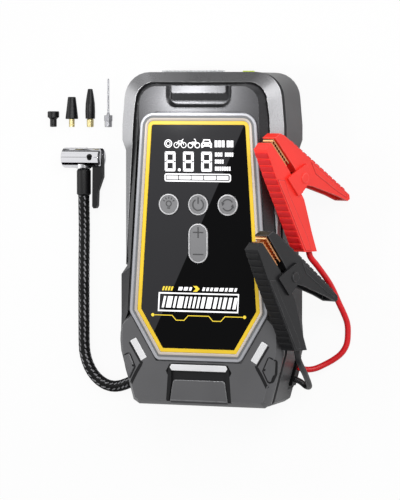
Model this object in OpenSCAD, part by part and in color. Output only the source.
// Car jump starter pack with a built-in tyre inflator, lying on its back.
// Millimetres. The pack rests on z = 0, its front panel faces +Z, its lamp end faces +Y.
// Origin: middle of the rest face. Distances along the case are given from its chin end,
// and centred() moves every piece by half the case length.

/* [Case] */
// Length of the case from the chin end to the lamp end
case_len = 210; // [206:1:214]
// Half width of the case at its shoulders
shoulder_half = 54; // [53.4:0.2:54.6]
// Half width of the case along its waist
waist_half = 51.6; // [51.2:0.2:52]
// Radius of the two corners at the lamp end
corner_r = 17; // [15:0.5:19]
// Height of the front panel's plateau above the rest face
case_h = 50; // [49.4:0.2:51]
// Height of the rear shell
rear_h = 36.5; // [36:0.1:36.8]
// Thickness of the frame between the rear shell and the front pieces
mid_frame_t = 5; // [4.6:0.1:5.2]
// Wall of the moulded shells
shell_wall = 2.4; // [2:0.1:2.8]

/* [Front panel] */
// Width of the metal bezel round the panel
bezel_w = 5; // [4.4:0.2:5.4]
// Width of the yellow trim inside the bezel
trim_w = 2.6; // [2:0.2:3]
// How far the bezel stands above the plateau
bezel_proud = 1; // [0.6:0.1:1.4]
// Diameter of the three round buttons
button_d = 13.2; // [12:0.2:14]
// Distance between the centres of two neighbouring buttons
button_pitch = 19.6; // [18:0.2:20]
// Distance of the button row from the chin end
button_y = 127; // [125:0.5:129]
// Width of the plus and minus rocker
rocker_w = 12.8; // [12:0.2:13.6]
// Length of the plus and minus rocker
rocker_len = 24.8; // [23:0.2:26]
// Distance of the rocker's centre from the chin end
rocker_y = 102.8; // [101:0.2:104]
// Travel of a button
button_travel = 0.8; // [0.5:0.1:0.8]

/* [Lamp end] */
// Width of the lamp lens
lens_w = 41; // [36:1:42]
// Height of the lamp lens
lens_h = 14; // [12:0.5:15]
// Width of the port cover
port_cover_w = 11.5; // [11:0.5:12.5]

/* [Pump] */
// Module of the pump's gears
gear_module = 0.8; // [0.76:0.01:0.8]
// Teeth of the motor pinion
pinion_teeth = 10; // [10:1:10]
// Teeth of the crank gear
crank_teeth = 36; // [36:1:36]
// Throw of the crank pin
crank_throw = 5; // [4:0.5:5]
// Radius of the pump piston
piston_r = 8; // [7:0.5:8]
// Radius of the pump motor
motor_r = 12.5; // [11:0.5:12.5]

/* [Jumper lead] */
// Diameter of each jumper cable
cable_d = 3.8; // [3.4:0.1:4]
// Thickness of the clamp's grips
grip_t = 11.2; // [10.6:0.2:11.2]
// Diameter of the clamp's pivot pin
clamp_pin_d = 3.2; // [2.8:0.1:3.6]
// Diameter of the wire of the clamp's spring
spring_wire_d = 1; // [0.8:0.1:1]

/* [Air hose] */
// Diameter of the braided air hose
hose_d = 7.4; // [7:0.1:7.6]
// Radius of the chuck's head
chuck_r = 6.6; // [6.2:0.1:6.8]
// Length of the chuck's head
chuck_len = 27; // [26:0.5:28]

/* [Hidden] */

// Clearances
slip = 0.25;          // between a moving piece and the hole round it
run = 0.05;           // radial clearance of a shaft in its bore
seat = 0.1;           // between two pieces that sit in each other
cut = 1;              // how far a cutter runs past a face

// Colours
dark_grey = "#4a4a4c";
mid_grey = "#707072";
light_grey = "#a8a8aa";
soft_black = "#242426";
gloss_black = "#0c0c0e";
silver = "#c8c8cc";
yellow = "#f2d03c";
red = "#ff453a";
copper = "#d08a5a";
brass = "#c8a850";

// ---------- paths and lofts ----------

// Points of an arc round (x, y), from angle a0 to a1 in n steps
function arc(x, y, r, a0, a1, n) =
    [for (i = [0:n]) [x + r * cos(a0 + (a1 - a0) * i / n), y + r * sin(a0 + (a1 - a0) * i / n)]];

// The right half of an outline, drawn from the bottom up, with its mirror image
function mirrored(half) =
    concat(half, [for (i = [len(half) - 1:-1:0]) [-half[i].x, half[i].y]]);

function unit(v) = v / norm(v);

module centred() {
    translate([0, -case_len / 2, 0]) children();
}

// A closed path that runs counter-clockwise, moved inwards by d
function inset(path, d) = [
    for (i = [0:len(path) - 1])
        let (
            n = len(path),
            before = unit(path[i] - path[(i + n - 1) % n]),
            after = unit(path[(i + 1) % n] - path[i]),
            n1 = [-before.y, before.x],
            n2 = [-after.y, after.x]
        )
        path[i] + d * (n1 + n2) / (1 + n1 * n2)
];

function at_height(path, z) = [for (p = path) [p.x, p.y, z]];

// A closed solid through rings of equally many points, from the lowest ring up
module loft(rings) {
    n = len(rings[0]);
    m = len(rings);
    sides = [
        for (k = [0:m - 2], i = [0:n - 1], t = [0, 1])
            let (a = k * n + i, b = k * n + (i + 1) % n)
            t == 0 ? [a, a + n, b] : [b, a + n, b + n]
    ];
    polyhedron(
        points = [for (ring = rings) each ring],
        faces = concat(
            [[for (i = [0:n - 1]) i]],
            sides,
            [[for (i = [n - 1:-1:0]) (m - 1) * n + i]]
        ),
        convexity = 6
    );
}

// A straight-sided block on an outline
module prism(path, z0, z1) {
    translate([0, 0, z0]) linear_extrude(z1 - z0) polygon(path);
}

// A solid of revolution whose axis lies along +Y, from [radius, y] points
module turned_y(profile) {
    rotate([-90, 0, 0]) rotate_extrude($fn = 48) polygon(profile);
}

// A bar with round ends, along Y
module stadium(w, l, h) {
    for (s = [-1, 1]) translate([0, s * (l - w) / 2, 0]) cylinder(r = w / 2, h = h, $fn = 48);
    translate([-w / 2, -(l - w) / 2, 0]) cube([w, l - w, h]);
}

// ---------- tubes along a route ----------

// A point on the smooth curve that runs through the route's points
function route_point(route, s) =
    let (
        last = len(route) - 1,
        i = min(floor(s), last - 1),
        t = s - i,
        a = route[max(i - 1, 0)],
        b = route[i],
        c = route[i + 1],
        d = route[min(i + 2, last)]
    )
    ((2 * b) + (c - a) * t + (2 * a - 5 * b + 4 * c - d) * t * t
        + (3 * b - a - 3 * c + d) * t * t * t) / 2;

function curve(route, steps) = [
    for (k = [0:(len(route) - 1) * steps]) route_point(route, k / steps)
];

function tangent(line, i) =
    unit(line[min(i + 1, len(line) - 1)] - line[max(i - 1, 0)]);

// A side direction carried along the line with no twist
function carried(line, i, side) =
    let (t = tangent(line, i)) unit(side - (side * t) * t);

function side_list(line, i, side) =
    i == len(line) ? [] : let (s = carried(line, i, side)) concat([s], side_list(line, i + 1, s));

function tube_ring(line, i, side, r, sides) =
    let (t = tangent(line, i), up = cross(t, side))
    [for (k = [0:sides - 1]) line[i] + r * (cos(360 * k / sides) * side + sin(360 * k / sides) * up)];

// A tube of the given sides along a line of points
module tube(line, r, sides, first_side) {
    frames = side_list(line, 0, first_side);
    rings = [for (i = [0:len(line) - 1]) tube_ring(line, i, frames[i], r, sides)];
    m = len(rings);
    polyhedron(
        points = [for (ring = rings) each ring],
        faces = concat(
            [[for (i = [sides - 1:-1:0]) i]],
            [
                for (k = [0:m - 2], i = [0:sides - 1], t = [0, 1])
                    let (a = k * sides + i, b = k * sides + (i + 1) % sides)
                    t == 0 ? [a, b, a + sides] : [b, b + sides, a + sides]
            ],
            [[for (i = [0:sides - 1]) (m - 1) * sides + i]]
        ),
        convexity = 8
    );
}

// ---------- outlines ----------

shell_inset = 0.4;                    // the rear shell stands this far inside the front pieces
core_inset = 2.2;                     // the mid frame stands this far inside the outline
mid_z = rear_h + mid_frame_t;         // where the front pieces begin
step_low_y = 85;                      // the waist starts here
step_high_y = case_len - 46.5;        // and ends here
corner_y = case_len - corner_r;
corner_x = shoulder_half - corner_r - 1.5;
corner_steps = 7;

case_outline = mirrored(concat(
    [[42, 0], [46, 2.6], [49.4, 14.8], [54.4, 33.5], [55, 40], [shoulder_half, 52]],
    [[shoulder_half, step_low_y - 3], [waist_half, step_low_y + 2.5]],
    [[waist_half, step_high_y - 3], [shoulder_half, step_high_y + 3.5]],
    [[shoulder_half, step_high_y + 13]],
    arc(corner_x, corner_y, corner_r, 4, 90, corner_steps)
));

// The same outline without its two small chin corners, for an opening far inside it
plain_outline = mirrored(concat(
    [[44, 0], [49.4, 14.8], [54.4, 33.5], [shoulder_half, 52]],
    [[shoulder_half, step_low_y - 3], [waist_half, step_low_y + 2.5]],
    [[waist_half, step_high_y - 3], [shoulder_half, step_high_y + 3.5]],
    [[shoulder_half, step_high_y + 13]],
    arc(corner_x, corner_y, corner_r, 4, 90, corner_steps)
));

// The light frame round the upper front: its outer edge and its inner, higher edge
rim_outer = mirrored(concat(
    [[waist_half, step_low_y + 3], [waist_half, step_high_y - 3]],
    [[shoulder_half, step_high_y + 3.5], [shoulder_half, step_high_y + 13]],
    arc(corner_x, corner_y, corner_r, 4, 90, corner_steps)
));
rim_inner_z = mid_z + 4.7;
rim_inner = mirrored(concat(
    [[50, step_low_y + 6], [45.4, step_high_y - 3]],
    [[44.9, step_high_y + 3.5], [44.5, step_high_y + 13]],
    arc(corner_x - 4.8, corner_y - 2.4, corner_r - 4.8, 4, 90, corner_steps)
));

// The front cover: its foot, and the plateau that carries the panel
cover_foot = mirrored(concat(
    [[54.3, 46.6], [shoulder_half, 56], [shoulder_half, step_low_y - 3]],
    [[waist_half - 1.5, step_low_y + 2.5], [49, 112], [45.4, step_high_y + 1]],
    [[44.6, step_high_y + 18]],
    arc(corner_x - 4.4, corner_y - 2, corner_r - 4.8, 4, 90, corner_steps)
));
plateau = mirrored(concat(
    [[48.4, 47.6], [47.2, 60], [45.6, step_low_y - 3]],
    [[45.2, step_low_y + 2.5], [43.4, 112], [40.1, step_high_y + 1]],
    [[39.8, step_high_y + 18]],
    arc(corner_x - 7, corner_y - 3, corner_r - 6, 4, 90, corner_steps)
));
// The bezel's six-sided outline
knee = [46, 59.1];
bezel_outline = mirrored([[28.1, 28.9], knee, [38.8, 173], [37.7, 178.6], [27.8, 184.4]]);
bezel_gap = 0.8;
ledge_w = 11;                          // the panel's opening is this far inside the bezel
panel_seat_z = case_h - 1.8;

// The chin bumper lies below a line that falls from the bezel's knee to the case side
chin_side = [55, 43.5];
chin_knee = knee + [0.9, 0];
chin_far = chin_side + 2 * (chin_side - chin_knee);
chin_zone = mirrored([[chin_far.x, -10], chin_far, chin_knee]);
chin_split = 0.4;

// ---------- case ----------

screw_low = [22, 9];
screw_high = [corner_x + 2, corner_y + 0.5];
screw_places = [
    screw_low, [-screw_low.x, screw_low.y], screw_high, [-screw_high.x, screw_high.y]
];
boss_r = 5;
screw_head_r = 3;
screw_r = 1.25;
screw_seat_z = 6;
rear_boss_top = 33;
front_boss_r = 3.4;

lens_x = -11.5;
lens_z = 27.5;
lens_proud = 1.5;
port_x = 26.5;
port_z = 25;
port_h = 14;
port_cover_t = 1.8;
end_wall_y = case_len - shell_inset;

// The lead's plug sits in the right side wall, which slants by this much
plug_turn = -15;
plug_face = [51.6, 19, 9];
plug_size = [11, 16.4, 8.6];
plug_gap = 0.3;
plug_pitch = 8;
socket_wall = 1.8;
bullet_r = 2.5;
bullet_len = 7;

// The gland where the air hose leaves the left side wall
gland_pos = [-54, 11, 8];
gland_r = 5.2;
gland_len = 14;
barb_x = 11;

module at_plug() {
    translate(plug_face) rotate([0, 0, plug_turn]) children();
}

module rear_shell() {
    inner = shell_inset + shell_wall;
    foot_h = 4.6;
    color(mid_grey) centred() difference() {
        union() {
            difference() {
                union() {
                    loft([
                        at_height(inset(case_outline, 4.4), 0),
                        at_height(inset(case_outline, 1.8), 1.3),
                        at_height(inset(case_outline, shell_inset), foot_h)
                    ]);
                    prism(inset(case_outline, shell_inset), foot_h, rear_h);
                }
                union() {
                    loft([
                        at_height(inset(case_outline, inner + 2.4), shell_wall),
                        at_height(inset(case_outline, inner + 0.8), shell_wall + 1.2),
                        at_height(inset(case_outline, inner), shell_wall + 3)
                    ]);
                    prism(inset(case_outline, inner), shell_wall + 3, rear_h + cut);
                }
            }
            for (p = screw_places)
                translate([p.x, p.y, shell_wall - 0.2])
                    cylinder(r = boss_r, h = rear_boss_top - shell_wall + 0.2, $fn = 48);
        }
        for (p = screw_places) {
            translate([p.x, p.y, -cut])
                cylinder(r = screw_head_r + 0.4, h = screw_seat_z + cut, $fn = 48);
            translate([p.x, p.y, 0]) cylinder(r = screw_r + 0.3, h = rear_h, $fn = 48);
        }
        // window of the lamp lens
        translate([lens_x - lens_w / 2 - seat, end_wall_y - 6, lens_z - lens_h / 2 - seat])
            cube([lens_w + 2 * seat, 8, lens_h + 2 * seat]);
        // recess of the port cover, and the port behind it
        translate([port_x - port_cover_w / 2 - slip, end_wall_y - port_cover_t, port_z - port_h / 2 - slip])
            cube([port_cover_w + 2 * slip, 8, port_h + 2 * slip]);
        translate([port_x - usb_w / 2 - seat, end_wall_y - 8, port_z - usb_h / 2 - seat])
            cube([usb_w + 2 * seat, 8, usb_h + 2 * seat]);
        at_plug() translate([-socket_len - cut, -socket_w / 2 - seat, -socket_h / 2 - seat])
            cube([socket_len + 8, socket_w + 2 * seat, socket_h + 2 * seat]);
        translate([gland_pos.x - cut, gland_pos.y, gland_pos.z])
            rotate([0, 90, 0]) cylinder(r = gland_r + seat, h = gland_len, $fn = 48);
    }
}

module mid_frame() {
    opening = 12;
    color(soft_black) centred() difference() {
        prism(inset(case_outline, core_inset), rear_h, mid_z);
        prism(inset(plain_outline, opening), rear_h - cut, mid_z + cut);
        for (p = screw_places)
            translate([p.x, p.y, rear_h - cut])
                cylinder(r = front_boss_r + slip, h = mid_frame_t + 2 * cut, $fn = 48);
    }
}

module front_frame() {
    gap = 0.6;
    color(light_grey) centred() difference() {
        loft([
            at_height(inset(rim_outer, 0.4), mid_z),
            at_height(rim_outer, mid_z + 1.2),
            at_height(rim_inner, rim_inner_z)
        ]);
        prism(inset(cover_foot, -gap), mid_z - cut, rim_inner_z + cut);
    }
}

pocket_w = 43.5;
pocket_y0 = case_len - 22.4;
pocket_y1 = case_len - 8.6;
visor_w = 34;

module front_cover() {
    foot_z = mid_z + 3;
    draft = 0.15;
    color(mid_grey) centred() difference() {
        union() {
            difference() {
                loft([
                    at_height(inset(cover_foot, draft), mid_z),
                    at_height(cover_foot, foot_z),
                    at_height(plateau, case_h)
                ]);
                prism(inset(plateau, 0.6), mid_z - cut, case_h - shell_wall - 1);
            }
            for (s = [-1, 1]) translate([s * screw_high.x, screw_high.y, rear_boss_top + seat])
                cylinder(r = front_boss_r, h = mid_z + 3.2 - rear_boss_top, $fn = 48);
            for (p = board_posts)
                translate([p.x, p.y, board_z + board_t]) cylinder(r = 2.2, h = 4.2, $fn = 32);
        }
        prism(inset(chin_zone, -chin_split), mid_z - 2 * cut, case_h + cut);
        prism(inset(bezel_outline, -bezel_gap), panel_seat_z, case_h + cut);
        prism(inset(bezel_outline, ledge_w), mid_z - cut, case_h + cut);
        for (p = screw_places) translate([p.x, p.y, 0]) cylinder(r = screw_r, h = mid_z + 4, $fn = 48);
        visor_pocket();
    }
}

// The scooped pocket above the panel
module visor_pocket() {
    deep = 2.2;
    r = 7;
    translate([0, 0, case_h - deep]) linear_extrude(deep + cut) difference() {
        union() {
            translate([-pocket_w / 2, pocket_y0 + r]) square([pocket_w, pocket_y1 - pocket_y0 - r]);
            translate([-pocket_w / 2 + r, pocket_y0]) square([pocket_w - 2 * r, r + cut]);
            for (s = [-1, 1]) translate([s * (pocket_w / 2 - r), pocket_y0 + r]) circle(r = r, $fn = 48);
        }
        // the raised visor plate in the pocket
        polygon([
            [-visor_w / 2, pocket_y0 + 6.2], [visor_w / 2, pocket_y0 + 6.2],
            [visor_w / 2 + 1.8, pocket_y0 + 9], [visor_w / 2 - 0.4, pocket_y1 + cut],
            [-visor_w / 2 + 0.4, pocket_y1 + cut], [-visor_w / 2 - 1.8, pocket_y0 + 9]
        ]);
    }
}

chin_outline = mirrored([
    [42, 0], [46, 2.6], [49.4, 14.8], [54.4, 33.5], [55, 40], [54.6, 52], [40, 66]
]);
bar_half = [2.25, 7.2];
bar_pos = [40.3, 35.2];
bar_turn = -31;
bar_z = case_h - 1.6;
chin_centre_w = 34;

module chin_bumper() {
    color(dark_grey) centred() difference() {
        loft([
            at_height(inset(chin_outline, 0.3), mid_z),
            at_height(chin_outline, mid_z + 2.5),
            at_height(inset(chin_outline, 0.8), case_h - 4),
            at_height(inset(chin_outline, 3.6), case_h)
        ]);
        difference() {
            prism([[-90, -20], [90, -20], [90, 90], [-90, 90]], mid_z - cut, case_h + cut);
            prism(chin_zone, mid_z - 2 * cut, case_h + 2 * cut);
        }
        prism(inset(bezel_outline, -bezel_gap), panel_seat_z, case_h + cut);
        prism(inset(bezel_outline, ledge_w), mid_z - cut, case_h + cut);
        for (s = [-1, 1]) mirror([s < 0 ? 1 : 0, 0, 0]) {
            // seat of the bright bar, and the sunk plate outside it
            translate([bar_pos.x, bar_pos.y, bar_z]) rotate([0, 0, bar_turn])
                translate([-bar_half.x - seat, -bar_half.y - seat, 0])
                    cube([2 * (bar_half.x + seat), 2 * (bar_half.y + seat), 4]);
            prism([[42.4, 24.6], [48.4, 15.6], [50.6, 25.8], [47, 30.6]], case_h - 1.4, case_h + cut);
        }
        // middle recess with its seat for the bright bar
        prism(mirrored([[22.6, -cut], [19, 16], [22, 22], [19.4, 26.6]]), case_h - 1.4, case_h + cut);
        for (p = screw_places)
            translate([p.x, p.y, 0]) cylinder(r = screw_r, h = mid_z + 4, $fn = 48);
    }
}

module chin_side_bars() {
    color(silver) centred() for (s = [-1, 1]) mirror([s < 0 ? 1 : 0, 0, 0])
        translate([bar_pos.x, bar_pos.y, bar_z]) rotate([0, 0, bar_turn])
            translate([-bar_half.x, -bar_half.y, 0]) cube([2 * bar_half.x, 2 * bar_half.y, 2]);
}

module chin_centre_bar() {
    color(silver) centred() prism(mirrored([[18, 22.4], [19.3, 24.4], [18.1, 26.4]]), case_h - 1.4, case_h + 0.3);
}

// ---------- front panel ----------

module bezel_ring() {
    top_z = case_h + bezel_proud;
    color(silver) centred() difference() {
        loft([
            at_height(bezel_outline, panel_seat_z),
            at_height(bezel_outline, top_z - 0.6),
            at_height(inset(bezel_outline, 0.6), top_z)
        ]);
        prism(inset(bezel_outline, bezel_w), panel_seat_z - cut, top_z + cut);
        // groove that runs round the bezel
        difference() {
            prism(inset(bezel_outline, 2.1), top_z - 0.6, top_z + cut);
            prism(inset(bezel_outline, 3), top_z - 2, top_z + 2);
        }
    }
}

module yellow_trim() {
    top_z = case_h + bezel_proud - 0.5;
    color(yellow) centred() difference() {
        prism(inset(bezel_outline, bezel_w + seat), panel_seat_z, top_z);
        prism(inset(bezel_outline, bezel_w + trim_w), panel_seat_z - cut, top_z + cut);
    }
}

panel_t = 1.8;
button_top_z = case_h + 0.9;
button_flange_r = button_d / 2 + 0.8;
rocker_axle_z = panel_seat_z - 1.2;
rocker_axle_r = 0.9;

module display_panel() {
    color(gloss_black) centred() {
        difference() {
            prism(inset(bezel_outline, bezel_w + trim_w + seat), panel_seat_z, panel_seat_z + panel_t);
            for (i = [-1:1]) translate([i * button_pitch, button_y, panel_seat_z - cut])
                cylinder(r = button_d / 2 + slip, h = panel_t + 2 * cut, $fn = 64);
            translate([0, rocker_y, panel_seat_z - cut])
                stadium(rocker_w + 2 * slip, rocker_len + 2 * slip, panel_t + 2 * cut);
        }
        // the two lugs that hold the rocker's axle
        for (s = [-1, 1]) difference() {
            translate([s * (rocker_w / 2 + 1.9) - 1, rocker_y - 2.2, panel_seat_z - 2.8])
                cube([2, 4.4, 2.8]);
            translate([s * (rocker_w / 2 + 1.9) - 2, rocker_y, rocker_axle_z])
                rotate([0, 90, 0]) cylinder(r = rocker_axle_r + run, h = 4, $fn = 32);
        }
    }
}

// A round button: the cap in the panel and the flange under it
module round_button(i) {
    color(mid_grey) centred() translate([i * button_pitch, button_y, 0]) {
        translate([0, 0, panel_seat_z - slip - 1.4]) cylinder(r = button_flange_r, h = 1.4, $fn = 64);
        translate([0, 0, panel_seat_z - slip - 1.4])
            cylinder(r = button_d / 2, h = button_top_z - panel_seat_z + slip + 1.4, $fn = 64);
    }
}

module light_button() { round_button(-1); }
module power_button() { round_button(0); }
module mode_button() { round_button(1); }

module level_rocker() {
    low_z = panel_seat_z - 1.6;
    color(mid_grey) centred() {
        translate([0, rocker_y, low_z]) stadium(rocker_w, rocker_len, button_top_z - low_z);
        translate([-rocker_w / 2 - 2.9, rocker_y, rocker_axle_z])
            rotate([0, 90, 0]) cylinder(r = rocker_axle_r, h = rocker_w + 5.8, $fn = 32);
    }
}

// ---------- lamp end ----------

usb_w = 9;
usb_h = 3.4;

module lamp_lens() {
    color(silver) centred() {
        translate([lens_x - lens_w / 2, end_wall_y - 2.6, lens_z - lens_h / 2])
            cube([lens_w, 2.6, lens_h]);
        // the raised face of the lens
        translate([lens_x - lens_w / 2 + 1.2, end_wall_y - 1, lens_z - lens_h / 2 + 1.2])
            cube([lens_w - 2.4, 1 + lens_proud, lens_h - 2.4]);
    }
}

module lamp_board() {
    leds = 6;
    lens_back = end_wall_y - 2.6;
    color("#2e6b3a") centred() translate([lens_x - lens_w / 2 + 1, lens_back - 3.2, lens_z - lens_h / 2 + 1])
        cube([lens_w - 2, 1.6, lens_h - 2]);
    color(yellow) centred() for (i = [0:leds - 1])
        translate([lens_x + (i - (leds - 1) / 2) * 6.2 - 1.75, lens_back - 1.6, lens_z - 1.75])
            cube([3.5, 0.9, 3.5]);
}

module port_cover() {
    y1 = end_wall_y;
    low = port_z - port_h / 2;
    hinge_r = port_cover_t / 2;
    color("#c8e03a") centred() {
        // the round lower edge is the hinge that the cover turns on
        translate([port_x - port_cover_w / 2, y1 + 0.1 - hinge_r, low + hinge_r]) rotate([0, 90, 0])
            cylinder(r = hinge_r, h = port_cover_w, $fn = 32);
        translate([port_x - port_cover_w / 2, y1 - port_cover_t + 0.1, low + hinge_r])
            cube([port_cover_w, port_cover_t, port_h - hinge_r]);
        // the finger lip at its free edge
        translate([port_x - port_cover_w / 2 + 2, y1, port_z + port_h / 2 - 2.2])
            cube([port_cover_w - 4, 1.1, 1.6]);
    }
}

module usb_socket() {
    y1 = end_wall_y - port_cover_t - 0.2;
    color(silver) centred() difference() {
        translate([port_x - usb_w / 2, y1 - 7.5, port_z - usb_h / 2]) cube([usb_w, 7.5, usb_h]);
        translate([port_x - usb_w / 2 + 0.6, y1 - 6.2, port_z - usb_h / 2 + 0.6])
            cube([usb_w - 1.2, 8, usb_h - 1.2]);
    }
    color(soft_black) centred() translate([port_x - 3, y1 - 6.8, port_z - 0.4]) cube([6, 5.6, 0.8]);
}

module case_screws() {
    color(silver) centred() for (p = screw_places) translate([p.x, p.y, 0]) {
        difference() {
            translate([0, 0, screw_seat_z - 2.2]) cylinder(r = screw_head_r, h = 2.2, $fn = 32);
            translate([-2, -0.4, screw_seat_z - 3]) cube([4, 0.8, 1.8]);
            translate([-0.4, -2, screw_seat_z - 3]) cube([0.8, 4, 1.8]);
        }
        translate([0, 0, screw_seat_z]) cylinder(r = screw_r - 0.05, h = mid_z + 3 - screw_seat_z, $fn = 32);
    }
}

socket_len = 20;
socket_w = plug_size.y + 2 * (plug_gap + socket_wall);
socket_h = plug_size.z + 2 * (plug_gap + socket_wall);

module lead_socket() {
    mouth = plug_size.x - 0.6;
    color(soft_black) centred() intersection() {
        prism(inset(case_outline, shell_inset + 0.3), 0, rear_h);
        difference() {
            at_plug() translate([-socket_len, -socket_w / 2, -socket_h / 2])
                cube([socket_len + 4, socket_w, socket_h]);
            at_plug() translate([-plug_size.x - plug_gap, -plug_size.y / 2 - plug_gap, -plug_size.z / 2 - plug_gap])
                cube([plug_size.x + 8, plug_size.y + 2 * plug_gap, plug_size.z + 2 * plug_gap]);
            for (s = [-1, 1]) at_plug() translate([-socket_len + 1, s * plug_pitch / 2, 0])
                rotate([0, 90, 0]) cylinder(r = bullet_r + 0.2, h = mouth, $fn = 32);
        }
    }
}

module hose_gland() {
    x0 = gland_pos.x;
    color(soft_black) centred() difference() {
        union() {
            translate(gland_pos) rotate([0, 90, 0]) rotate_extrude($fn = 48) polygon([
                [0, 0], [4.2, 0], [4.6, 2], [gland_r, 4], [gland_r, gland_len], [0, gland_len]
            ]);
            translate([x0 + barb_x, gland_pos.y, gland_pos.z]) rotate([-90, 0, 0])
                cylinder(r = 2.2, h = 7.5, $fn = 32);
        }
        translate([x0 - cut, gland_pos.y, gland_pos.z])
            rotate([0, 90, 0]) cylinder(r = 1.2, h = barb_x + cut, $fn = 32);
        translate([x0 + barb_x, gland_pos.y, gland_pos.z])
            rotate([-90, 0, 0]) cylinder(r = 1.2, h = 9, $fn = 32);
    }
}

// ---------- inside ----------

cell_size = [74, 94, 8.2];
cell_gap = 0.4;
cells = 3;
tray_y = 36;
tray_wall = 1.6;
tray_gap = 0.5;
tray_floor_z = shell_wall + 0.2;

module battery_cells() {
    color("#8fa4b8") centred() for (i = [0:cells - 1])
        translate([
            -cell_size.x / 2, tray_y + tray_wall + tray_gap,
            tray_floor_z + tray_wall + 0.2 + i * (cell_size.z + cell_gap)
        ]) cube(cell_size);
}

module battery_tray() {
    w = cell_size.x + 2 * (tray_wall + tray_gap);
    l = cell_size.y + 2 * (tray_wall + tray_gap);
    h = 20;
    color(soft_black) centred() difference() {
        translate([-w / 2, tray_y, tray_floor_z]) cube([w, l, h]);
        translate([-w / 2 + tray_wall, tray_y + tray_wall, tray_floor_z + tray_wall])
            cube([w - 2 * tray_wall, l - 2 * tray_wall, h]);
    }
}

board_t = 1.6;
board_z = mid_z + 0.2;
board_posts = [[37.2, 70], [-37.2, 70], [30.6, 168], [-30.6, 168]];

module main_board() {
    color("#2e6b3a") centred() difference() {
        prism(mirrored([[39.6, 64], [33.6, 174]]), board_z, board_z + board_t);
    }
}

display_size = [50, 32, 4];
display_y = 140;

module display_module() {
    z0 = board_z + board_t;
    color(soft_black) centred() translate([-display_size.x / 2 - 1, display_y, z0])
        cube([display_size.x, display_size.y, panel_seat_z - z0 - 0.1]);
}

switch_places = [
    [-button_pitch, button_y], [0, button_y], [button_pitch, button_y],
    [0, rocker_y - 8.5], [0, rocker_y + 8.5]
];

module key_switches() {
    z0 = board_z + board_t;
    body = 2;
    flange_z = panel_seat_z - slip - 1.4;
    color(soft_black) centred() for (p = switch_places) translate([p.x, p.y, z0]) {
        translate([-3, -3, 0]) cube([6, 6, body]);
        cylinder(r = 1.7, h = flange_z - z0 - button_travel - 0.1, $fn = 32);
    }
}

// ---------- pump ----------

gear_z = 19.5;
gear_y = 164;
gear_t = 4;
motor_x = 20;
pinion_r = gear_module * pinion_teeth / 2;
crank_r = gear_module * crank_teeth / 2;
crank_x = motor_x - pinion_r - crank_r;
frame_y = 168.8;
frame_t = 2.4;
axle_r = 1.5;
shaft_r = 1;
yoke_y = gear_y - 5;
yoke_t = 3;
cyl_end_x = crank_x - crank_throw - 14;
cyl_len = 24;
cyl_wall = 2.2;

// Outline of a gear with straight-sided teeth
function gear_outline(teeth, r, turn) = [
    for (i = [0:teeth - 1], k = [0:3])
        let (
            half = [0.30, 0.14, 0.14, 0.30][k] * 360 / teeth,
            rad = [r - 0.85 * gear_module, r + 0.7 * gear_module, r + 0.7 * gear_module, r - 0.85 * gear_module][k],
            a = turn + 360 * i / teeth + (k < 2 ? -half : half)
        )
        [rad * cos(a), rad * sin(a)]
];

module along_y(x, y, z) {
    translate([x, y, z]) rotate([90, 0, 0]) children();
}

module pump_motor() {
    y0 = frame_y + frame_t;
    l = 27;
    color(silver) centred() difference() {
        along_y(motor_x, y0 + l, gear_z) rotate_extrude($fn = 64) polygon([
            [0, 0], [motor_r - 1, 0], [motor_r, 1], [motor_r, l - 1], [motor_r - 1, l], [0, l]
        ]);
        along_y(motor_x, y0 + 4, gear_z) cylinder(r = shaft_r + run, h = 8, $fn = 32);
    }
}

module motor_pinion() {
    color(brass) centred() {
        along_y(motor_x, gear_y + gear_t, gear_z) linear_extrude(gear_t)
            polygon(gear_outline(pinion_teeth, pinion_r, 180 / pinion_teeth));
        along_y(motor_x, frame_y + frame_t + 3.6, gear_z)
            cylinder(r = shaft_r, h = frame_y + frame_t + 3.6 - gear_y, $fn = 32);
    }
}

module crank_gear() {
    color(soft_black) centred() difference() {
        union() {
            along_y(crank_x, gear_y + gear_t, gear_z) linear_extrude(gear_t)
                polygon(gear_outline(crank_teeth, crank_r, 0));
            // the crank pin stops just short of the yoke
            along_y(crank_x, gear_y + 0.1, gear_z + crank_throw)
                cylinder(r = 1.6, h = gear_y - yoke_y - yoke_t - 0.3, $fn = 32);
        }
        along_y(crank_x, gear_y + gear_t + cut, gear_z)
            cylinder(r = axle_r + run, h = gear_t + 2 * cut, $fn = 32);
    }
}

module pump_frame() {
    side_x = cyl_end_x + 0.1;
    z0 = shell_wall + 0.3;
    z1 = rear_h - 2;
    color("#8a8a8e") centred() {
        difference() {
            translate([side_x, frame_y, z0]) cube([motor_x + 14 - side_x, frame_t, z1 - z0]);
            along_y(motor_x, frame_y + frame_t + cut, gear_z)
                cylinder(r = shaft_r + run, h = frame_t + 2 * cut, $fn = 32);
        }
        difference() {
            translate([side_x, gear_y - 12, z0]) cube([2.2, frame_y + frame_t - gear_y + 12, z1 - z0]);
            translate([side_x - cut, yoke_y + yoke_t / 2, gear_z]) rotate([0, 90, 0])
                cylinder(r = 3, h = 5, $fn = 32);
        }
        along_y(crank_x, frame_y + 0.2, gear_z) cylinder(r = axle_r, h = frame_y + 0.2 - gear_y + 0.1, $fn = 32);
    }
}

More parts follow.
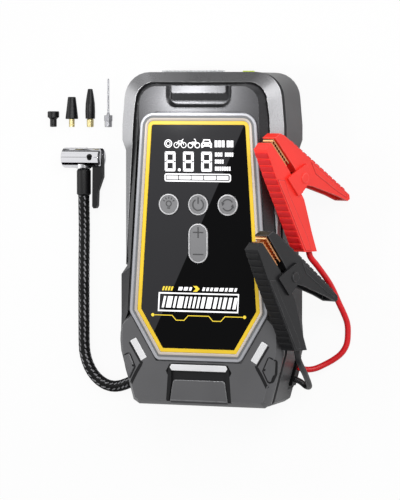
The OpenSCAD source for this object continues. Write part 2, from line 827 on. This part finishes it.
module pump_piston() {
    slot_half = crank_throw + 2.2;
    mid_y = yoke_y + yoke_t / 2;
    rod_end = cyl_end_x - 10;
    color(light_grey) centred() {
        difference() {
            translate([crank_x - 4.4, yoke_y, gear_z - slot_half - 2])
                cube([8.8, yoke_t, 2 * slot_half + 4]);
            translate([crank_x - 1.8, yoke_y - cut, gear_z - slot_half])
                cube([3.6, yoke_t + 2 * cut, 2 * slot_half]);
        }
        translate([rod_end, mid_y, gear_z]) rotate([0, 90, 0])
            cylinder(r = 1.4, h = crank_x - 4.2 - rod_end, $fn = 32);
        translate([rod_end - 4, mid_y, gear_z]) rotate([0, 90, 0]) cylinder(r = piston_r, h = 5, $fn = 64);
    }
}

module pump_cylinder() {
    r = piston_r + cyl_wall;
    fins = 4;
    mid_y = yoke_y + yoke_t / 2;
    color("#b8b8bc") centred() difference() {
        union() {
            translate([cyl_end_x - cyl_len, mid_y, gear_z]) rotate([0, 90, 0])
                cylinder(r = r, h = cyl_len, $fn = 64);
            for (i = [0:fins - 1]) translate([cyl_end_x - cyl_len + 2 + i * 3.4, mid_y, gear_z])
                rotate([0, 90, 0]) cylinder(r = r + 1.6, h = 1.4, $fn = 64);
        }
        translate([cyl_end_x - cyl_len - cut, mid_y, gear_z]) rotate([0, 90, 0])
            cylinder(r = piston_r + run, h = cyl_len + 2 * cut, $fn = 64);
    }
}

head_t = 4;
head_x = cyl_end_x - cyl_len - head_t;

module cylinder_head() {
    mid_y = yoke_y + yoke_t / 2;
    color("#9a9a9e") centred() {
        translate([head_x, mid_y, gear_z]) rotate([0, 90, 0])
            cylinder(r = piston_r + cyl_wall + 1.6, h = head_t, $fn = 64);
        // outlet barb that points to the chin end
        translate([head_x + head_t / 2, mid_y - piston_r - 7.4, gear_z]) rotate([-90, 0, 0])
            cylinder(r = 1.8, h = 5, $fn = 32);
    }
}

tube_r = 2;
air_tube_route = [
    [head_x + head_t / 2, yoke_y + yoke_t / 2 - piston_r - 7.4, gear_z],
    [-43.8, 141, 19.5], [-44.8, 134.6, 19], [-45.6, 126, 18], [-45.8, 112, 17], [-45.8, 98, 16],
    [-45.6, 84, 15], [-45.4, 70, 14], [-45.2, 56, 13], [-44.8, 42, 11.5], [-43.8, 31, 9.6],
    [-43, 24, 8.4], [-43, 18.5, 8]
];

module air_tube() {
    color(light_grey) centred() tube(curve(air_tube_route, 2), tube_r, 8, [1, 0, 0]);
}

// ---------- jumper lead ----------

// Both clamps lean on the case's right edge, so their plane slopes down towards +X
red_tilt = 64;
black_tilt = 66;
red_pivot = [61.5, 144.2, 40.9];
black_pivot = [58.9, 83.4, 52.2];
black_rest_opening = 3;
opening_angle = 30;

ear_t = 1.5;
ear_gap = 0.2;
ear_top = grip_t / 2 + ear_gap + ear_t;

nose_start = [-28, 22];
nose_turn = -47.4;
nose_len = 23.6;
nose_gap = 4.6;
nose_dir = [cos(nose_turn), sin(nose_turn)];
nose_up = [-nose_dir.y, nose_dir.x];
lower_outline = [
    [-32.2, 18], [-23.3, 0], [-14.2, -16.5], [-5.6, -32.3], [1.5, -46], [12.6, -46],
    [8, -34], [4.4, -23], [1.1, -13.4], [-2.2, -8.6], [-5.8, -5.2], [-8.4, -1.6],
    nose_start + nose_len * nose_dir, nose_start
];
upper_outline = [
    nose_start + nose_gap * nose_up, nose_start + nose_len * nose_dir + nose_gap * nose_up,
    [-4.8, 2.8], [-4.2, -1.2], [-2, -3.8], [2.4, -4.4], [9, -5.4], [31, -11.8],
    [40.6, -15.4], [42.6, -14.2], [42.2, -11.4], [32.6, -5], [10.8, 9.2], [0, 16],
    [-16.2, 26.4], [-20, 27.8]
];
jaw_half_t = 4.4;
tooth_pitch = 2.3;
teeth = 8;

module at_clamp(pivot, tilt) {
    translate(pivot) rotate([0, tilt, 0]) children();
}

module slab(half_t) {
    translate([0, 0, -half_t]) linear_extrude(2 * half_t) children();
}

module lower_grip() {
    difference() {
        union() {
            slab(grip_t / 2) polygon(lower_outline);
            // the two ears that reach over the other half
            for (s = [-1, 1]) translate([0, 0, s > 0 ? grip_t / 2 + ear_gap : -ear_top]) {
                linear_extrude(ear_t) polygon([[-12, 2], [1.4, 8.8], [7.4, 0.2], [-2.2, -9]]);
            }
            for (s = [-1, 1]) translate([0, 0, s > 0 ? grip_t / 2 - 0.2 : -ear_top])
                linear_extrude(ear_t + ear_gap + 0.2)
                    polygon([[-15, 0], [-12, 2], [-11.5, 2.3], [-1.6, -8.9], [-2.6, -9.4], [-5.4, -11]]);
        }
        // the hollow inside of the handle
        slab(grip_t / 2 - 1.7) polygon([
            [-10.4, -3.4], [-11.8, -15.4], [-3.6, -30.8], [2.6, -43.4], [16, -43.4], [12, -22], [0, -2]
        ]);
        translate([0, 0, -10]) cylinder(r = clamp_pin_d / 2 + run, h = 20, $fn = 32);
    }
}

module upper_grip() {
    hub_gap = 3.2;
    difference() {
        slab(grip_t / 2) polygon(upper_outline);
        slab(grip_t / 2 - 1.7) polygon([
            [9.5, -9], [11.4, 6], [31.6, -7.2], [38.6, -11.8], [38.6, -19]
        ]);
        // room for the spring between the two ears of this half
        slab(hub_gap) polygon([[-7, -6], [12, -9], [12, 4.6], [6, 5.2], [-5, 5.2]]);
        translate([0, 0, -10]) cylinder(r = clamp_pin_d / 2 + run, h = 20, $fn = 32);
    }
}

// A toothed strip along the nose: side 0 on the lower half, side 1 on the upper half
module jaw(side) {
    base = 0;
    root = 1.5;
    crest = nose_gap / 2 - 0.15;
    points = concat(
        [[0.6, base], [nose_len - 3, base], [nose_len - 3, root]],
        [for (i = [teeth - 1:-1:0], k = [1, 0]) [1.2 + i * tooth_pitch + k * tooth_pitch / 2, k == 1 ? root : crest]],
        [[0.6, root]]
    );
    translate(nose_start) rotate([0, 0, nose_turn]) slab(jaw_half_t)
        polygon(side == 0 ? points : [for (p = points) [p.x, nose_gap - p.y]]);
}

module clamp_pin() {
    head = 0.6;
    translate([0, 0, -ear_top]) cylinder(r = clamp_pin_d / 2, h = 2 * ear_top, $fn = 32);
    for (s = [-1, 1]) translate([0, 0, s > 0 ? ear_top + 0.05 : -ear_top - 0.05 - head])
        cylinder(r = 2.8, h = head, $fn = 32);
    translate([0, 0, -ear_top - 0.2]) cylinder(r = clamp_pin_d / 2, h = 2 * ear_top + 0.4, $fn = 32);
}

spring_turns = 3.25;
spring_r = 3.05;
spring_pitch = 1.45;
spring_rings = 8;
spring_start = 16;
spring_leg = 17;
spring_line = concat(
    // the straight leg that presses on the lower grip
    [
        [
            -spring_r * cos(spring_start) - spring_leg * sin(spring_start),
            spring_r * sin(spring_start) - spring_leg * cos(spring_start),
            -spring_turns / 2 * spring_pitch
        ]
    ],
    [
        for (i = [0:spring_turns * spring_rings])
            let (a = spring_start + 360 * i / spring_rings)
            [
                -spring_r * cos(a), spring_r * sin(a),
                (i / spring_rings - spring_turns / 2) * spring_pitch
            ]
    ]
);
echo(spring_gap = spring_pitch - spring_wire_d);

module clamp_spring() {
    tube(spring_line, spring_wire_d / 2, 6, [1, 0, 0]);
}

module red_lower_grip() { color(red) centred() at_clamp(red_pivot, red_tilt) lower_grip(); }
module red_upper_grip() { color(red) centred() at_clamp(red_pivot, red_tilt) upper_grip(); }
module red_lower_jaw() { color(copper) centred() at_clamp(red_pivot, red_tilt) jaw(0); }
module red_upper_jaw() { color(copper) centred() at_clamp(red_pivot, red_tilt) jaw(1); }
module red_clamp_pin() { color(red) centred() at_clamp(red_pivot, red_tilt) clamp_pin(); }
module red_clamp_spring() { color(silver) centred() at_clamp(red_pivot, red_tilt) clamp_spring(); }
module black_lower_grip() { color(dark_grey) centred() at_clamp(black_pivot, black_tilt) lower_grip(); }
module black_upper_grip() {
    color(dark_grey) centred() at_clamp(black_pivot, black_tilt) rotate([0, 0, -black_rest_opening])
        upper_grip();
}
module black_lower_jaw() { color(copper) centred() at_clamp(black_pivot, black_tilt) jaw(0); }
module black_upper_jaw() {
    color(copper) centred() at_clamp(black_pivot, black_tilt) rotate([0, 0, -black_rest_opening])
        jaw(1);
}
module black_clamp_pin() { color(dark_grey) centred() at_clamp(black_pivot, black_tilt) clamp_pin(); }
module black_clamp_spring() { color(silver) centred() at_clamp(black_pivot, black_tilt) clamp_spring(); }

module lead_plug() {
    color(soft_black) centred() at_plug() {
        translate([-plug_size.x, -plug_size.y / 2, -plug_size.z / 2]) cube(plug_size);
        for (s = [-1, 1]) translate([-plug_size.x - bullet_len, s * plug_pitch / 2, 0])
            rotate([0, 90, 0]) cylinder(r = bullet_r, h = bullet_len + 0.5, $fn = 32);
    }
}

red_route = [
    [66.3, 98.2, 31], [67.2, 94.2, 29.8], [69.8, 89.6, 26.2], [72.2, 84.6, 22],
    [74, 79.8, 17], [75.8, 75, 13.6], [77.6, 70, 11.4], [79.6, 64, 9.2], [81.6, 57.6, 5.8],
    [83, 51.4, 3],
    [83.2, 45, 2.1], [82.4, 38, 2.1], [79.2, 32.4, 2.1], [74.2, 28.2, 2.6], [68.4, 24.8, 4],
    [62.8, 22.2, 6.2], [57.6, 21.6, 8.2], [52.6, 22.8, 9]
];
black_route = [
    [62.8, 37.4, 43.5], [63, 33.8, 42.9], [63.4, 29.8, 40.8], [63.6, 25.6, 36], [63.6, 21.4, 30],
    [62.9, 17.2, 23.2], [62.2, 13.4, 17.2], [60.6, 11.2, 12], [57.6, 11.2, 9.2],
    [54.2, 13.6, 8.8], [50.6, 15.2, 9]
];

module red_cable() {
    color(red) centred() tube(curve(red_route, 1), cable_d / 2, 8, [1, 0, 0]);
}

module black_cable() {
    color(soft_black) centred() tube(curve(black_route, 2), cable_d / 2, 8, [1, 0, 0]);
}

// ---------- air hose and chuck ----------

chuck_z = chuck_r + 0.1;
chuck_x0 = -109;
chuck_y = 154.7;
ferrule_x = -95.2;
ferrule_r = 4.6;
ferrule_y0 = 130.4;
lever_pin = [-88.5, 155];
lever_t = 4.6;
lever_slot = 5.2;
lever_pin_r = 1.5;
cam_r = 4;

hose_route = [
    [-54, 11, 8], [-58, 10.8, 7.6], [-62.4, 9.4, 6.6], [-67, 7.6, 5.2], [-71.6, 6.2, 4.2],
    [-76.4, 5.8, 3.8], [-81.4, 7, 3.8], [-86.4, 10, 3.8], [-90.6, 14.4, 3.8], [-93.8, 20.2, 3.8],
    [-95.8, 27, 3.8], [-96.4, 34, 3.8], [-96.5, 46, 3.8], [-96.5, 60, 3.8], [-96.5, 74, 3.8],
    [-96.4, 88, 3.8], [-96.2, 100, 3.8], [-96, 109, 4.2], [-95.6, 117, 5.4], [-95.3, 124, 6.4],
    [-95.2, 130.4, 6.7]
];

module air_hose() {
    color(soft_black) centred() tube(curve(hose_route, 1), hose_d / 2, 10, [0, 0, 1]);
}

module hose_ferrule() {
    len_y = chuck_y - chuck_r - 0.6 - ferrule_y0;
    color(soft_black) centred() translate([ferrule_x, ferrule_y0, chuck_z]) turned_y([
        [0, 0], [ferrule_r - 0.6, 0], [ferrule_r, 0.8], [ferrule_r, len_y - 1.4],
        [ferrule_r - 0.8, len_y], [0, len_y]
    ]);
}

valve_r = 4;              // the mouth fits a tyre valve stem
seal_wall = 1.2;
mouth_len = 12;

module chuck_body() {
    color(silver) centred() difference() {
        union() {
            translate([chuck_x0, chuck_y, chuck_z]) rotate([0, 90, 0]) rotate_extrude($fn = 64) polygon([
                [0, 0], [chuck_r - 0.6, 0], [chuck_r, 0.6], [chuck_r, chuck_len - 1],
                [chuck_r - 1, chuck_len], [0, chuck_len]
            ]);
            // collar that takes the hose
            translate([ferrule_x, chuck_y - chuck_r - 0.6, chuck_z]) turned_y([
                [0, 0], [4.4, 0], [5.2, 0.8], [5.2, 3], [0, 5]
            ]);
        }
        // mouth for the valve stem, which holds the seal
        translate([chuck_x0 - cut, chuck_y, chuck_z]) rotate([0, 90, 0])
            cylinder(r = valve_r + seal_wall, h = mouth_len + cut, $fn = 48);
        // slot for the lever's cam
        translate([lever_pin.x - 4.6, chuck_y - chuck_r - 2, chuck_z - lever_slot / 2])
            cube([20, 2 * chuck_r + 4, lever_slot]);
        translate([lever_pin.x, lever_pin.y, chuck_z - 10])
            cylinder(r = lever_pin_r, h = 20, $fn = 32);
    }
}

module chuck_seal() {
    color(soft_black) centred() difference() {
        translate([chuck_x0 + 0.4, chuck_y, chuck_z]) rotate([0, 90, 0])
            cylinder(r = valve_r + seal_wall - seat / 2, h = mouth_len - 0.4, $fn = 48);
        translate([chuck_x0 - cut, chuck_y, chuck_z]) rotate([0, 90, 0])
            cylinder(r = valve_r, h = mouth_len - 1.6 + cut, $fn = 48);
    }
}

module chuck_lever() {
    color(soft_black) centred() difference() {
        translate([0, 0, chuck_z - lever_t / 2]) linear_extrude(lever_t) polygon(concat(
            arc(lever_pin.x, lever_pin.y, cam_r, 90, 270, 12),
            [
                [-88.4, 148.2], [-88.7, 123.2], [-87.9, 121.8], [-86.2, 121.8], [-85.2, 123.2],
                [-84.8, 133], [-81.4, 142.2], [-81.4, 153.6], [-82.2, 157], [-84.6, 159.2]
            ]
        ));
        translate([lever_pin.x, lever_pin.y, chuck_z - 10])
            cylinder(r = lever_pin_r + run, h = 20, $fn = 32);
    }
}

module chuck_pin() {
    color(soft_black) centred() translate([lever_pin.x, lever_pin.y, chuck_z - chuck_r + 0.4])
        cylinder(r = lever_pin_r, h = 2 * chuck_r - 0.4, $fn = 32);
}

// ---------- loose adapters ----------

adapter_y = 174.6;
screw_adapter_x = -117.8;
short_x = -104.6;
long_x = -92;
needle_x = -79.5;

module screw_adapter() {
    color(soft_black) centred() translate([screw_adapter_x, adapter_y, 3.9]) difference() {
        turned_y([
            [0, 0], [1.9, 0], [2.2, 0.4], [2.2, 5], [3.2, 6], [3.8, 6.2], [3.8, 9.8], [3.4, 10.2], [0, 10.2]
        ]);
        translate([0, -cut, 0]) rotate([-90, 0, 0]) cylinder(r = 1, h = 14, $fn = 24);
    }
}

module cone_nozzles() {
    color(soft_black) centred() {
        translate([short_x, adapter_y + 5.2, 4.2]) turned_y([
            [1.9, 0], [4.1, 0], [4.1, 1], [2.6, 14], [2.2, 14.4], [1, 14.4], [1, 3], [1.9, 3]
        ]);
        translate([long_x, adapter_y + 5.4, 3.3]) turned_y([
            [1.9, 0], [3.1, 0], [3.2, 5], [3, 10], [2.3, 15], [1.6, 19], [1.3, 19.4], [0.8, 19.4],
            [0.8, 3], [1.9, 3]
        ]);
    }
}

module nozzle_inserts() {
    color(brass) centred() {
        translate([short_x, adapter_y, 4.2]) turned_y([[0.8, 0], [1.85, 0], [1.85, 8.1], [0.8, 8.1]]);
        translate([long_x, adapter_y, 3.3]) turned_y([
            [0.7, 0], [2.2, 0], [2.3, 4.8], [1.85, 5.3], [1.85, 8.3], [0.7, 8.3]
        ]);
    }
}

module ball_needle() {
    color(silver) centred() translate([needle_x, adapter_y, 2.9]) {
        turned_y([
            [0, 0], [2.2, 0], [2.4, 0.5], [2.4, 3.8], [1.2, 4], [1.2, 7.8], [0.65, 9.6], [0.65, 31], [0, 31.6]
        ]);
        translate([0, 3.9, 0]) rotate([-90, 0, 0]) cylinder(r = 2.9, h = 3.8, $fn = 6);
    }
}

rear_shell();
mid_frame();
front_frame();
front_cover();
chin_bumper();
chin_side_bars();
chin_centre_bar();
bezel_ring();
yellow_trim();
display_panel();
light_button();
power_button();
mode_button();
level_rocker();
lamp_lens();
lamp_board();
port_cover();
usb_socket();
case_screws();
lead_socket();
hose_gland();
battery_cells();
battery_tray();
main_board();
display_module();
key_switches();
pump_motor();
motor_pinion();
crank_gear();
pump_piston();
pump_cylinder();
cylinder_head();
pump_frame();
air_tube();
lead_plug();
red_cable();
black_cable();
red_lower_grip();
red_upper_grip();
red_lower_jaw();
red_upper_jaw();
red_clamp_pin();
red_clamp_spring();
black_lower_grip();
black_upper_grip();
black_lower_jaw();
black_upper_jaw();
black_clamp_pin();
black_clamp_spring();
air_hose();
hose_ferrule();
chuck_body();
chuck_lever();
chuck_pin();
chuck_seal();
screw_adapter();
cone_nozzles();
nozzle_inserts();
ball_needle();
